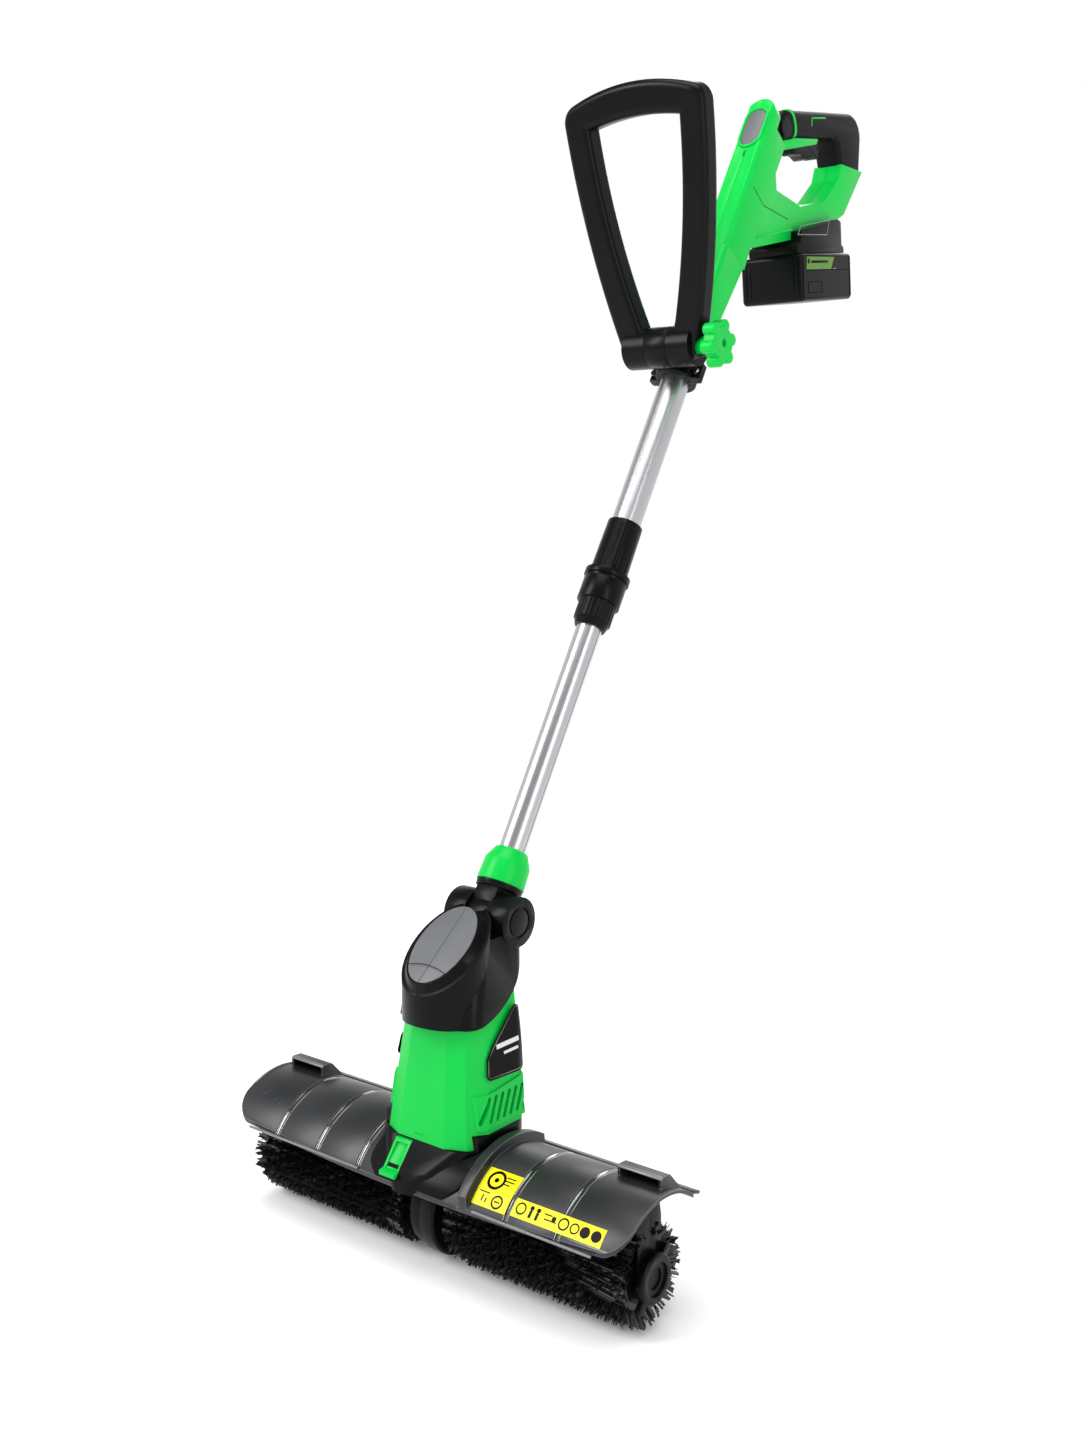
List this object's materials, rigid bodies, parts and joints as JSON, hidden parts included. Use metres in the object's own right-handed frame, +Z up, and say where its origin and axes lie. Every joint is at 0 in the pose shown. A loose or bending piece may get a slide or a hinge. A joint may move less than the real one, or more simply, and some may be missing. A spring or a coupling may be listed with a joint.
{
  "type": "cordless roller-brush surface sweeper",
  "caption": "Cordless surface sweeper: a hooded roller brush under a tilting motor head, on a telescopic tube with a folding D-handle, trigger grip and slide-off battery.",
  "frame": {"origin": "on the ground, straight below the middle of the brush axis", "axes": "+X along the brush axis to the tool's right end as its user's front view shows it, +Y back to the user, +Z up"},
  "size_m": [0.468, 0.8045, 1.148],
  "materials": {
    "green_plastic": "satin, bright green moulded plastic",
    "black_plastic": "satin black moulded plastic",
    "hood_plastic": "satin dark grey",
    "black_grip": "soft black overmould",
    "grey_pad": "matt grey",
    "tube_aluminium": "brushed, satin anodised",
    "steel": "bright steel",
    "bristle": "stiff black nylon bristle",
    "nylon_gear": "natural nylon",
    "yellow_label": "yellow printed film",
    "black_label": "black printed film",
    "olive_label": "dull green printed film",
    "cell_wrap": "blue cell sleeve"
  },
  "bodies": {
    "head": {"hood_left": "hood_plastic", "hood_right": "hood_plastic", "hood_stickers": "yellow_label", "end_bracket_left": "black_plastic", "end_bracket_right": "black_plastic", "gear_leg_left": "black_plastic", "gear_leg_right": "black_plastic", "leg_screws": "steel", "ball_bearings": "steel", "gear_plate": "tube_aluminium", "motor_can": "steel", "motor_housing": "green_plastic", "side_labels": "black_label", "base": "black_plastic", "pivot_cover_left": "black_plastic", "pivot_cover_right": "black_plastic", "cover_pad": "grey_pad", "pivot_pin": "steel"},
    "brush": {"brush_core_left": "black_plastic", "brush_core_right": "black_plastic", "bristles_left": "bristle", "bristles_right": "bristle", "cross_shaft": "steel", "crown_gear": "nylon_gear"},
    "drive": {"drive_shaft": "steel", "bevel_pinion": "steel", "spur_gear": "nylon_gear"},
    "rotor": {"motor_shaft": "steel", "motor_pinion": "steel", "motor_fan": "black_plastic"},
    "left_cap": {"end_cap_left": "black_plastic"},
    "right_cap": {"end_cap_right": "black_plastic"},
    "latch": {"head_latch": "green_plastic"},
    "lower_pole": {"pole_neck": "black_plastic", "pole_socket": "green_plastic", "lower_tube": "tube_aluminium"},
    "upper_pole": {"upper_tube": "tube_aluminium", "collar": "black_plastic", "collet": "black_plastic", "clamp_front": "black_plastic", "clamp_rear": "black_plastic", "clamp_screws": "steel", "clamp_bolt": "steel", "handle_sleeve": "green_plastic", "handle_left": "green_plastic", "handle_right": "green_plastic", "handle_pad": "grey_pad", "grip": "black_grip", "switch_box": "black_plastic", "battery_dock": "black_plastic"},
    "nut": {"collar_nut": "black_plastic"},
    "front_handle": {"d_handle": "black_plastic", "d_handle_top": "black_plastic"},
    "knob": {"star_knob": "green_plastic"},
    "trigger_lever": {"trigger": "black_plastic"},
    "lock": {"lock_button": "black_plastic"},
    "battery": {"battery_case": "black_plastic", "battery_cells": "cell_wrap", "battery_label": "olive_label"},
    "battery_release": {"battery_button": "black_plastic"}
  },
  "joints": [
    {"name": "brush_spin", "type": "hinge", "parent": "head", "child": "brush", "pos_m": [0, 0, 0.047], "axis": [1, 0, 0], "continuous": true},
    {"name": "drive_spin", "type": "hinge", "parent": "head", "child": "drive", "pos_m": [0, 0, 0.1], "axis": [0, 0, 1], "continuous": true},
    {"name": "motor_spin", "type": "hinge", "parent": "head", "child": "rotor", "pos_m": [0, 0.02, 0.18], "axis": [0, 0, 1], "continuous": true},
    {"name": "left_cap_twist", "type": "hinge", "parent": "head", "child": "left_cap", "pos_m": [-0.2225, 0, 0.047], "axis": [-1, 0, 0], "range_deg": [0, 45]},
    {"name": "right_cap_twist", "type": "hinge", "parent": "head", "child": "right_cap", "pos_m": [0.2225, 0, 0.047], "axis": [1, 0, 0], "range_deg": [0, 45]},
    {"name": "latch_press", "type": "hinge", "parent": "head", "child": "latch", "pos_m": [-0.018, -0.0405, 0.1175], "axis": [-1, 0, 0], "range_deg": [0, 12], "stiffness_Nm_per_rad": 0.08, "springref_deg": -5.73},
    {"name": "pole_tilt", "type": "hinge", "parent": "head", "child": "lower_pole", "pos_m": [0, 0.055, 0.308], "axis": [-1, 0, 0], "range_deg": [-20, 40]},
    {"name": "pole_slide", "type": "slide", "parent": "lower_pole", "child": "upper_pole", "axis": [0, 0.515, 0.8572], "range_m": [-0.22, 0.05]},
    {"name": "nut_turn", "type": "hinge", "parent": "upper_pole", "child": "nut", "pos_m": [0, 0.21981, 0.58229], "axis": [0, 0.515, 0.8572], "range_deg": [-60, 0]},
    {"name": "front_handle_fold", "type": "hinge", "parent": "upper_pole", "child": "front_handle", "pos_m": [0, 0.33833, 0.84672], "axis": [1, 0, 0], "range_deg": [-25, 60]},
    {"name": "star_knob_turn", "type": "hinge", "parent": "upper_pole", "child": "knob", "pos_m": [0.0635, 0.33833, 0.84672], "axis": [1, 0, 0], "range_deg": [0, 360]},
    {"name": "trigger_pull", "type": "hinge", "parent": "upper_pole", "child": "trigger_lever", "pos_m": [0, 0.584, 1.099], "axis": [1, 0, 0], "range_deg": [0, 6], "stiffness_Nm_per_rad": 0.6, "springref_deg": -6.88},
    {"name": "lock_push", "type": "slide", "parent": "upper_pole", "child": "lock", "axis": [1, 0, 0], "range_m": [-0.003, 0.003], "stiffness_N_per_m": 300},
    {"name": "battery_slide", "type": "slide", "parent": "upper_pole", "child": "battery", "axis": [0, 0.9914, 0.1305], "range_m": [0, 0.1]},
    {"name": "battery_release_press", "type": "slide", "parent": "battery", "child": "battery_release", "axis": [0, 0.1305, -0.9914], "range_m": [0, 0.003], "stiffness_N_per_m": 400, "springref_m": -0.002}
  ],
  "couplings": [
    {"joint": "drive_spin", "follows": "brush_spin", "ratio": -4},
    {"joint": "motor_spin", "follows": "brush_spin", "ratio": 13.333}
  ]
}
